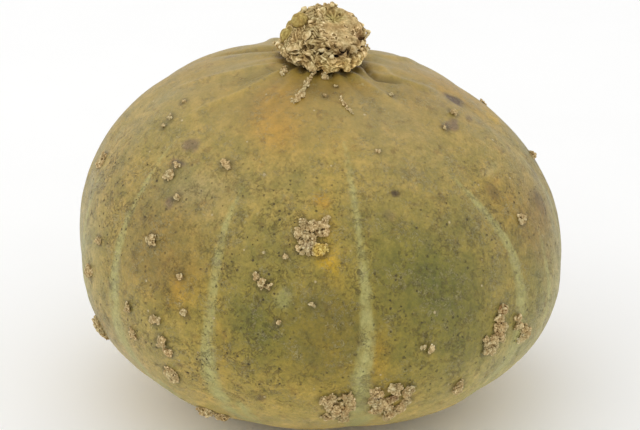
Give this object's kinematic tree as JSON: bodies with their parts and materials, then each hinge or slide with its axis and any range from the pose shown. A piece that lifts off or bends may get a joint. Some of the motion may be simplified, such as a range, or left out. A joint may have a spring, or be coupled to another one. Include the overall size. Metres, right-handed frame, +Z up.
{
  "type": "kabocha squash",
  "caption": "Squat round winter squash with shallow furrows, standing on its blossom end, with a short craggy corky stem on top.",
  "frame": {"origin": "middle of the bounding box's base, on the ground under the fruit", "axes": "+Z up from the blossom end to the stem; -Y towards the front, the side with most of the corky warts; +X to the right as seen from the front"},
  "size_m": [0.17, 0.173, 0.1424],
  "materials": {
    "rind": "satin, mottled olive, ochre and green with pale stripes and tan corky warts",
    "cork": "dull, dry, flaky cork"
  },
  "bodies": {
    "root": {"fruit": "rind", "stem": "cork"}
  },
  "joints": []
}
